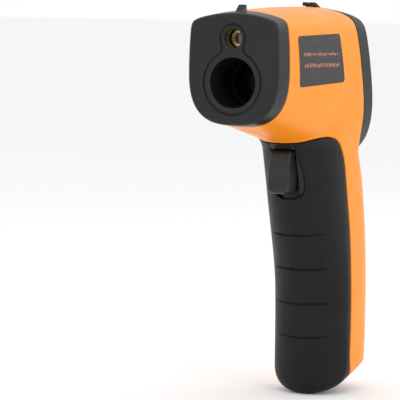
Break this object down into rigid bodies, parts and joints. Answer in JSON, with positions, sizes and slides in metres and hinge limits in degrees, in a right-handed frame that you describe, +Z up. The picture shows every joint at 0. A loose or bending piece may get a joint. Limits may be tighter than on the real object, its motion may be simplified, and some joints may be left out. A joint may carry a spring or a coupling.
{
  "type": "infrared thermometer",
  "caption": "Pistol-grip infrared thermometer: sensor barrel with laser pointer, tilted display with keys, pull trigger, and a soft-skinned battery grip that swings open.",
  "frame": {"origin": "centre of the sensor aperture on the flat front face of the nose cover", "axes": "+X out of the nose along the line of sight, +Y to the holder's left, +Z up"},
  "size_m": [0.1024, 0.0412, 0.1579],
  "materials": {
    "orange_shell": "satin moulded orange plastic",
    "black_plastic": "fine-textured black plastic",
    "window": "clear display window",
    "lcd": "grey-blue liquid-crystal panel",
    "light_guide": "milky light guide",
    "board": "green solder mask",
    "chip_epoxy": "black epoxy",
    "marbled_key": "dark marbled gloss key cap",
    "red_key": "red gloss key cap",
    "switch_body": "switch housing",
    "switch_stem": "switch stem",
    "tube_coating": "matt black inside coating",
    "infrared_lens": "dark infrared lens",
    "can_metal": "plated detector can",
    "laser_brass": "turned brass barrel",
    "laser_glass": "small collimating lens",
    "trigger_plastic": "satin black trigger",
    "steel": "bright steel",
    "cell_jacket": "printed cell jacket",
    "soft_grip": "soft-touch black grip",
    "label_film": "printed dark label film",
    "wire_jacket": "insulated wire"
  },
  "bodies": {
    "housing": {"left_shell": "orange_shell", "right_shell": "orange_shell", "nose_cover": "black_plastic", "rear_bezel": "black_plastic", "optics_bracket": "black_plastic", "trigger_frame": "black_plastic", "battery_tray": "black_plastic", "display_frame": "black_plastic", "display_window": "window", "lcd_panel": "lcd", "backlight_panel": "light_guide", "main_board": "board", "sensor_board": "board", "switch_board": "board", "board_chips": "chip_epoxy", "buzzer": "chip_epoxy", "key_switches": "switch_body", "trigger_switch": "switch_body", "sensor_tube": "tube_coating", "lens_ring": "tube_coating", "sensor_lens": "infrared_lens", "thermopile_can": "can_metal", "laser_module": "laser_brass", "laser_lens": "laser_glass", "trigger_pin": "steel", "door_pin": "steel", "shell_screws": "steel", "battery_springs": "steel", "battery_contacts": "steel", "battery_cells": "cell_jacket", "left_label": "label_film", "right_label": "label_film", "sensor_leads": "wire_jacket", "laser_leads": "wire_jacket", "battery_leads": "wire_jacket"},
    "trigger": {"trigger": "trigger_plastic", "trigger_spring": "steel"},
    "switch_plunger": {"switch_plunger": "switch_stem"},
    "laser_key": {"laser_key": "marbled_key"},
    "backlight_key": {"backlight_key": "marbled_key"},
    "unit_key": {"unit_key": "red_key"},
    "laser_key_plunger": {"laser_key_plunger": "switch_stem"},
    "backlight_key_plunger": {"backlight_key_plunger": "switch_stem"},
    "unit_key_plunger": {"unit_key_plunger": "switch_stem"},
    "battery_door": {"battery_door": "black_plastic", "grip_skin": "soft_grip"}
  },
  "joints": [
    {"name": "trigger_pull", "type": "hinge", "parent": "housing", "child": "trigger", "pos_m": [-0.054, 0, -0.029], "axis": [0, 1, 0], "range_deg": [0, 10], "stiffness_Nm_per_rad": 0.12, "springref_deg": -5.73},
    {"name": "trigger_switch_press", "type": "slide", "parent": "housing", "child": "switch_plunger", "axis": [-1, 0, 0], "range_m": [0, 0.0019]},
    {"name": "door_swing", "type": "hinge", "parent": "housing", "child": "battery_door", "pos_m": [-0.0946, 0, -0.1142], "axis": [0, 1, 0], "range_deg": [0, 55]},
    {"name": "laser_key_press", "type": "slide", "parent": "housing", "child": "laser_key", "axis": [0.972, 0, -0.2351], "range_m": [0, 0.0005], "stiffness_N_per_m": 900},
    {"name": "backlight_key_press", "type": "slide", "parent": "housing", "child": "backlight_key", "axis": [0.972, 0, -0.2351], "range_m": [0, 0.0005], "stiffness_N_per_m": 900},
    {"name": "unit_key_press", "type": "slide", "parent": "housing", "child": "unit_key", "axis": [0.972, 0, -0.2351], "range_m": [0, 0.0005], "stiffness_N_per_m": 900},
    {"name": "laser_key_plunger_press", "type": "slide", "parent": "housing", "child": "laser_key_plunger", "axis": [0.972, 0, -0.2351], "range_m": [0, 0.0005]},
    {"name": "backlight_key_plunger_press", "type": "slide", "parent": "housing", "child": "backlight_key_plunger", "axis": [0.972, 0, -0.2351], "range_m": [0, 0.0005]},
    {"name": "unit_key_plunger_press", "type": "slide", "parent": "housing", "child": "unit_key_plunger", "axis": [0.972, 0, -0.2351], "range_m": [0, 0.0005]}
  ],
  "couplings": [
    {"joint": "trigger_switch_press", "follows": "trigger_pull", "m_per_rad": 0.0106},
    {"joint": "laser_key_plunger_press", "follows": "laser_key_press", "ratio": 1},
    {"joint": "backlight_key_plunger_press", "follows": "backlight_key_press", "ratio": 1},
    {"joint": "unit_key_plunger_press", "follows": "unit_key_press", "ratio": 1}
  ]
}
